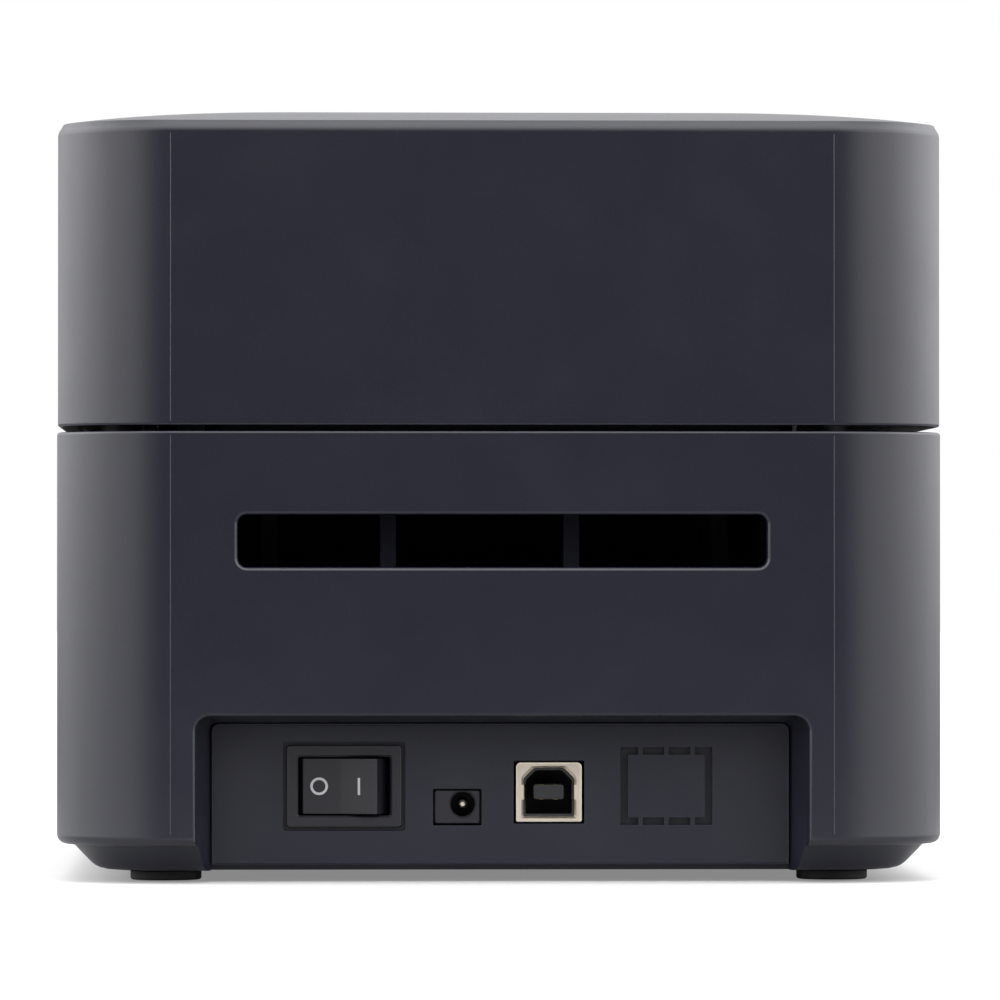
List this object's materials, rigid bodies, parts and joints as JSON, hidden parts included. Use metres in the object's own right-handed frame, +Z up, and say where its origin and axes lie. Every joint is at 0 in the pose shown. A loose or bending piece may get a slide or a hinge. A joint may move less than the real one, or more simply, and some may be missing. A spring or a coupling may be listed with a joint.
{
  "type": "receipt and label printer",
  "caption": "Desktop clamshell thermal printer: hinged lid, lower case with a rear media slot, a recessed panel with a power switch and sockets, roll bay, platen drive and print head.",
  "frame": {"origin": "middle of the footprint, on the surface that it stands on", "axes": "+Z up, the label exit faces -Y, the sockets face +Y"},
  "size_m": [0.162, 0.205, 0.141],
  "materials": {
    "shell": "fine spark-eroded texture, satin charcoal",
    "inner_plastic": "matte black moulding",
    "switch_plastic": "smooth black",
    "rubber": "matte black",
    "steel": "ground steel",
    "nickel": "warm nickel plate",
    "bronze": "sintered bronze",
    "alloy": "extruded",
    "nylon": "natural nylon",
    "board": "green solder mask",
    "ceramic": "glazed strip",
    "lens": "clear polished",
    "button": "fine texture"
  },
  "bodies": {
    "base": {"lower_case": "shell", "bottom_tray": "shell", "foot_front_left": "rubber", "foot_front_right": "rubber", "foot_rear_left": "rubber", "foot_rear_right": "rubber", "base_screw_front_left": "steel", "base_screw_front_right": "steel", "base_screw_rear_left": "steel", "base_screw_rear_right": "steel", "rear_panel": "shell", "switch_housing": "switch_plastic", "dc_jack_body": "switch_plastic", "dc_jack_pin": "steel", "usb_shell": "nickel", "usb_tongue": "switch_plastic", "main_board": "board", "media_deck": "inner_plastic", "platen_bearing_left": "bronze", "platen_bearing_right": "bronze", "idler_post": "steel", "stepper_motor": "steel", "tear_bar": "steel", "gap_sensor": "switch_plastic", "hinge_pin_left": "steel", "hinge_pin_right": "steel", "strike_stud_left": "steel", "strike_stud_right": "steel"},
    "lid": {"lid_shell": "shell", "hinge_arm_left": "inner_plastic", "hinge_arm_right": "inner_plastic", "lid_frame": "inner_plastic", "head_spring_left": "steel", "head_spring_right": "steel", "status_lens": "lens", "control_board": "board"},
    "head": {"thermal_strip": "ceramic", "heat_sink": "alloy", "head_carrier": "steel"},
    "latch": {"latch_shaft": "steel", "latch_hook_left": "steel", "latch_hook_right": "steel", "latch_lever": "steel"},
    "release": {"release_button": "button"},
    "feed": {"feed_button": "button"},
    "rocker": {"power_rocker": "switch_plastic"},
    "platen": {"platen_shaft": "steel", "platen_rubber": "rubber", "platen_gear": "nylon"},
    "idler": {"idler_gear": "nylon"},
    "pinion": {"motor_pinion": "steel", "motor_shaft": "steel"},
    "guide_left": {"media_guide_left": "inner_plastic"},
    "guide_right": {"media_guide_right": "inner_plastic"},
    "guide_drive": {"guide_pinion": "nylon"}
  },
  "joints": [
    {"name": "lid_hinge", "type": "hinge", "parent": "base", "child": "lid", "pos_m": [0, 0.096, 0.0737], "axis": [-1, 0, 0], "range_deg": [0, 100]},
    {"name": "head_float", "type": "slide", "parent": "lid", "child": "head", "axis": [0, 0, 1], "range_m": [0, 0.0008], "stiffness_N_per_m": 6000, "deforming": ["head_spring_left", "head_spring_right"]},
    {"name": "latch_turn", "type": "hinge", "parent": "lid", "child": "latch", "pos_m": [0, -0.066, 0.102], "axis": [-1, 0, 0], "range_deg": [0, 10], "stiffness_Nm_per_rad": 0.6},
    {"name": "release_press", "type": "slide", "parent": "lid", "child": "release", "axis": [0, 1, 0], "range_m": [0, 0.0028]},
    {"name": "feed_press", "type": "slide", "parent": "lid", "child": "feed", "axis": [0, 1, 0], "range_m": [0, 0.0008], "stiffness_N_per_m": 400},
    {"name": "rocker_tilt", "type": "hinge", "parent": "base", "child": "rocker", "pos_m": [0.0285, 0.0874, 0.0172], "axis": [0, 0, 1], "range_deg": [0, 22]},
    {"name": "platen_turn", "type": "hinge", "parent": "base", "child": "platen", "pos_m": [0, -0.09, 0.0755], "axis": [1, 0, 0], "continuous": true},
    {"name": "idler_turn", "type": "hinge", "parent": "base", "child": "idler", "pos_m": [0, -0.07601, 0.06121], "axis": [1, 0, 0], "continuous": true},
    {"name": "pinion_turn", "type": "hinge", "parent": "base", "child": "pinion", "pos_m": [0, -0.06601, 0.04771], "axis": [1, 0, 0], "continuous": true},
    {"name": "guide_left_slide", "type": "slide", "parent": "base", "child": "guide_left", "axis": [-1, 0, 0], "range_m": [0, 0.028]},
    {"name": "guide_right_slide", "type": "slide", "parent": "base", "child": "guide_right", "axis": [1, 0, 0], "range_m": [0, 0.028]},
    {"name": "guide_pinion_turn", "type": "hinge", "parent": "base", "child": "guide_drive", "pos_m": [0, 0.02, 0.0135], "axis": [0, 0, 1], "range_deg": [0, 202]}
  ],
  "couplings": [
    {"joint": "release_press", "follows": "latch_turn", "m_per_rad": 0.0155},
    {"joint": "idler_turn", "follows": "platen_turn", "ratio": -0.66667},
    {"joint": "pinion_turn", "follows": "platen_turn", "ratio": 1.6667},
    {"joint": "guide_right_slide", "follows": "guide_left_slide", "ratio": 1},
    {"joint": "guide_pinion_turn", "follows": "guide_left_slide", "rad_per_m": 125}
  ]
}
